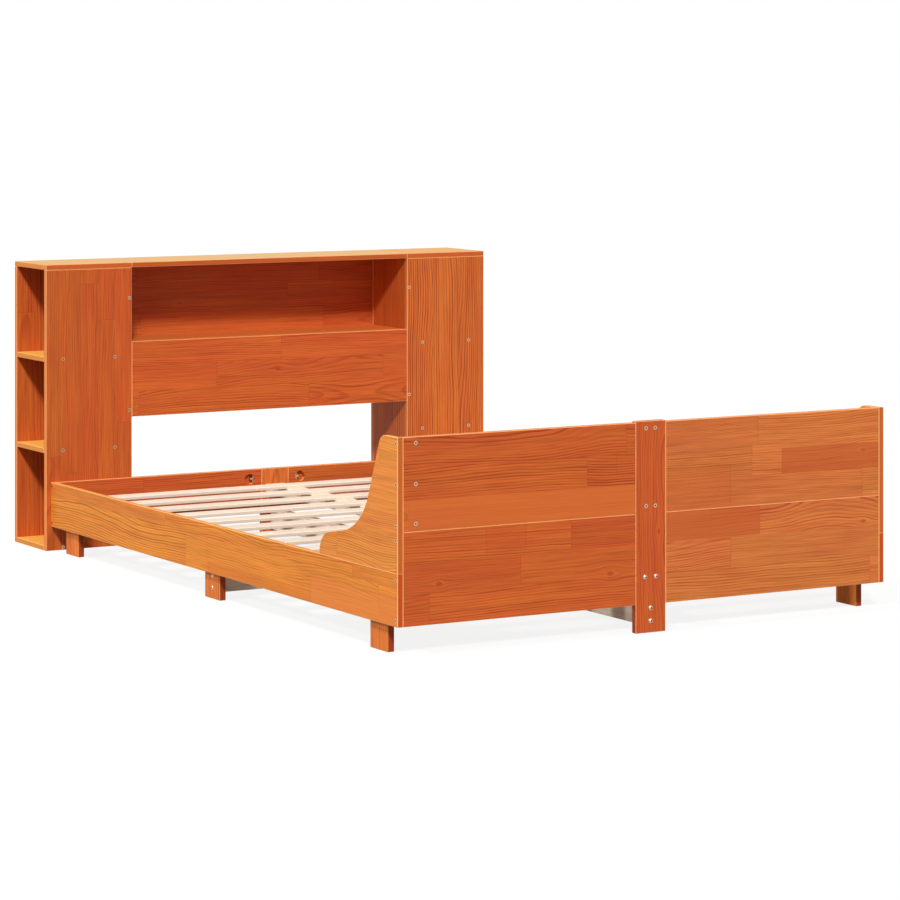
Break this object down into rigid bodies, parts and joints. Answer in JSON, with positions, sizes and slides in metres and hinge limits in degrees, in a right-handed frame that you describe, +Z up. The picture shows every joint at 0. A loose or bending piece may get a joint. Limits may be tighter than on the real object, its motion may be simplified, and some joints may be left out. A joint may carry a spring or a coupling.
{
  "type": "bed frame",
  "caption": "Low double bed frame in stained solid pine with a bookcase headboard, curved side wings, a tall plank footboard and a slatted base.",
  "frame": {"origin": "on the floor, under the centre of the whole bed's bounding box", "axes": "+Y along the bed towards the headboard, +Z up, +X to the right for someone who stands at the foot and faces the headboard"},
  "size_m": [1.462, 2.2812, 0.823],
  "materials": {
    "stained_pine": "satin wax stain",
    "natural_pine": "planed, untreated",
    "zinc_steel": "yellow-grey zinc plate",
    "beech": "fluted, untreated"
  },
  "bodies": {
    "root": {"back_panel_screws": "zinc_steel", "barrel_nuts": "zinc_steel", "beam_strut": "natural_pine", "bed_screws": "zinc_steel", "column_back_left": "stained_pine", "column_back_right": "stained_pine", "column_bottom_left": "stained_pine", "column_bottom_right": "stained_pine", "column_front_left": "stained_pine", "column_front_right": "stained_pine", "column_shelf_lower_left": "stained_pine", "column_shelf_lower_right": "stained_pine", "column_shelf_upper_left": "stained_pine", "column_shelf_upper_right": "stained_pine", "column_side_left": "stained_pine", "column_side_right": "stained_pine", "column_top_left": "stained_pine", "column_top_right": "stained_pine", "corner_batten_left": "stained_pine", "corner_batten_right": "stained_pine", "cross_beam": "natural_pine", "dowels": "beech", "floor_beam_foot": "natural_pine", "floor_beam_head": "natural_pine", "foot_batten": "stained_pine", "foot_plank_lower_left": "stained_pine", "foot_plank_lower_right": "stained_pine", "foot_plank_upper_left": "stained_pine", "foot_plank_upper_right": "stained_pine", "foot_post": "stained_pine", "foot_wing_left": "stained_pine", "foot_wing_right": "stained_pine", "frame_bolts": "zinc_steel", "head_post": "stained_pine", "head_rail_left": "stained_pine", "head_rail_right": "stained_pine", "headboard_bolts": "zinc_steel", "headboard_nuts": "zinc_steel", "headboard_plank": "stained_pine", "headboard_screws": "zinc_steel", "leg_foot_left": "stained_pine", "leg_foot_right": "stained_pine", "leg_head_left": "stained_pine", "leg_head_right": "stained_pine", "leg_mid_left": "stained_pine", "leg_mid_right": "stained_pine", "leg_screws": "zinc_steel", "niche_back": "stained_pine", "niche_floor": "stained_pine", "niche_top": "stained_pine", "plank_screws": "zinc_steel", "rail_bolts": "zinc_steel", "saddle_washers": "zinc_steel", "side_rail_left": "stained_pine", "side_rail_right": "stained_pine", "slat_beam": "natural_pine", "slat_cleat_left": "natural_pine", "slat_cleat_right": "natural_pine", "slat_screws": "zinc_steel", "slats": "natural_pine"}
  },
  "joints": []
}
